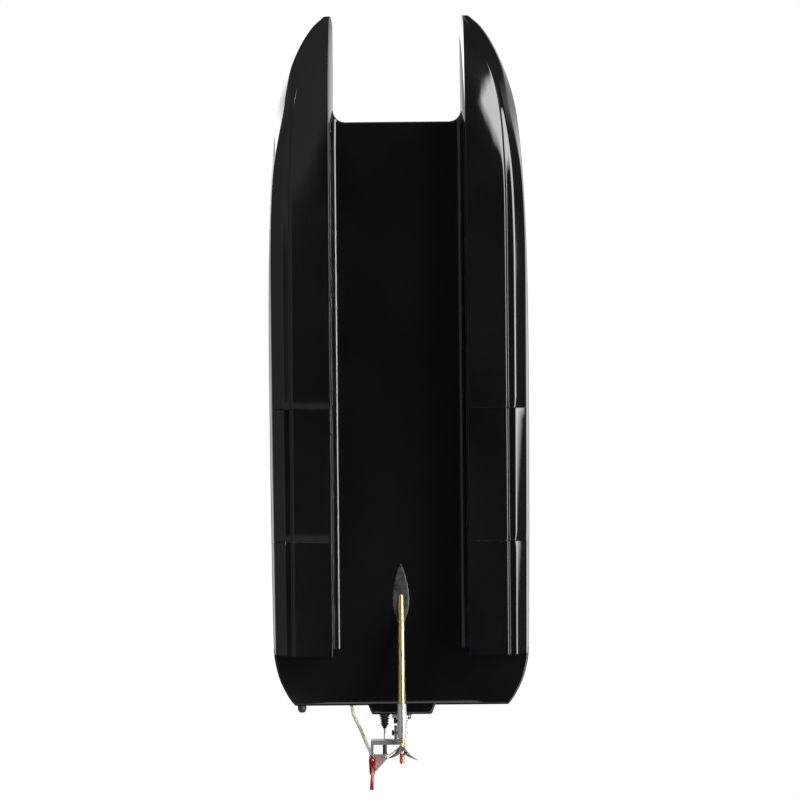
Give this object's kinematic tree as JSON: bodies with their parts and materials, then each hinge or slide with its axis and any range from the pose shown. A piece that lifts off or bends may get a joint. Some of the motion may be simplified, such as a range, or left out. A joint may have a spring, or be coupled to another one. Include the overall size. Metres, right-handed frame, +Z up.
{
  "type": "radio-control catamaran race boat",
  "caption": "Electric radio-control tunnel-hull race boat: stepped sponsons, canopy, stern drive with two-blade propeller, kick-up rudder and its steering linkage.",
  "frame": {"origin": "on the centreline at half length, level with the tip of the rudder, which is the lowest point", "axes": "+Y towards the stern, -Y towards the bow, +Z up through the canopy, +X to port"},
  "size_m": [0.2532, 0.7376, 0.1437],
  "materials": {
    "hull_black": "gloss black gelcoat over glass-fibre laminate",
    "deck_white": "gloss white gelcoat",
    "canopy_red": "gloss red gelcoat",
    "black_rubber": "satin moulded rubber",
    "silicone": "translucent silicone",
    "cable_rubber": "soft wire insulation",
    "brass": "drawn and turned",
    "copper": "turned copper alloy",
    "aluminium": "satin machined",
    "grey_anodised": "dark grey anodised",
    "red_anodised": "red anodised",
    "steel": "ground and machined",
    "black_steel": "black oxide",
    "black_plastic": "moulded",
    "grey_plastic": "moulded",
    "shrink_wrap": "blue shrink wrap",
    "resin": "dark filled resin",
    "foam": "closed-cell foam",
    "webbing": "woven hook-and-loop",
    "plywood": "sealed birch ply"
  },
  "bodies": {
    "hull": {"hull_bottom": "hull_black", "deck": "deck_white", "deck_front": "deck_white", "canopy_seal": "black_rubber", "bellows": "black_rubber", "water_inlet": "brass", "stuffing_tube": "brass", "strut_bushing": "brass", "water_outlet": "aluminium", "strut": "aluminium", "strut_bracket": "aluminium", "motor_front_bell": "aluminium", "motor_mount": "aluminium", "rudder_bracket": "grey_anodised", "water_jacket": "red_anodised", "controller_water_plate": "red_anodised", "flex_shaft": "steel", "motor_stator": "steel", "clamp_screw_upper": "black_steel", "clamp_screw_lower": "black_steel", "motor_can": "black_steel", "servo": "black_plastic", "speed_controller": "black_plastic", "receiver_box": "grey_plastic", "power_connector": "grey_plastic", "battery": "shrink_wrap", "tube_fairing": "resin", "flotation_port": "foam", "flotation_starboard": "foam", "battery_strap": "webbing", "battery_tray": "plywood", "servo_tray": "plywood", "rudder_hose_front": "silicone", "hose_inlet": "silicone", "hose_link": "silicone", "hose_outlet": "silicone", "motor_lead_1": "cable_rubber", "motor_lead_2": "cable_rubber", "motor_lead_3": "cable_rubber", "battery_lead": "cable_rubber", "controller_lead": "cable_rubber"},
    "steering_yoke": {"rudder_yoke": "red_anodised", "rudder_pivot_pin": "steel", "tiller_plate": "aluminium", "tiller_ball_stud": "steel", "kick_pin": "steel", "rudder_hose_back": "silicone"},
    "rudder": {"rudder_blade": "red_anodised", "rudder_nipple": "brass"},
    "steering_rod": {"pushrod": "steel", "rod_end": "black_plastic"},
    "servo_arm": {"servo_horn": "aluminium"},
    "motor_rotating": {"motor_rotor": "steel", "shaft_coupler": "brass"},
    "prop_rotating": {"prop_shaft": "steel", "drive_dog": "brass", "propeller": "steel", "prop_nut": "copper"},
    "canopy_cover": {"canopy": "canopy_red"},
    "plug": {"drain_plug": "black_rubber"}
  },
  "joints": [
    {"name": "rudder_steer", "type": "hinge", "parent": "hull", "child": "steering_yoke", "pos_m": [-0.0289, 0.35015, 0.066], "axis": [0, 0, 1], "range_deg": [-25, 25], "deforming": ["rudder_hose_front"]},
    {"name": "rudder_kick", "type": "hinge", "parent": "steering_yoke", "child": "rudder", "pos_m": [-0.0289, 0.36005, 0.071], "axis": [1, 0, 0], "range_deg": [0, 45], "deforming": ["rudder_hose_back"]},
    {"name": "rod_slide", "type": "slide", "parent": "hull", "child": "steering_rod", "axis": [0, 1, 0], "range_m": [-0.0055, 0.0055], "deforming": ["bellows"]},
    {"name": "servo_turn", "type": "hinge", "parent": "hull", "child": "servo_arm", "pos_m": [-0.0202, 0.13815, 0.097], "axis": [1, 0, 0], "range_deg": [-26, 26]},
    {"name": "motor_spin", "type": "hinge", "parent": "hull", "child": "motor_rotating", "pos_m": [0, 0.12415, 0.0965], "axis": [0, 0.9877, -0.1564], "continuous": true},
    {"name": "prop_spin", "type": "hinge", "parent": "hull", "child": "prop_rotating", "pos_m": [0, 0.33915, 0.052], "axis": [0, 1, 0], "continuous": true},
    {"name": "canopy_lift", "type": "slide", "parent": "hull", "child": "canopy_cover", "axis": [0, 0, 1], "range_m": [0, 0.08]},
    {"name": "drain_plug_pull", "type": "slide", "parent": "hull", "child": "plug", "axis": [0, 1, 0], "range_m": [0, 0.02]}
  ],
  "couplings": [
    {"joint": "rod_slide", "follows": "rudder_steer", "m_per_rad": 0.012},
    {"joint": "servo_turn", "follows": "rudder_steer", "ratio": 1},
    {"joint": "prop_spin", "follows": "motor_spin", "ratio": 1}
  ]
}
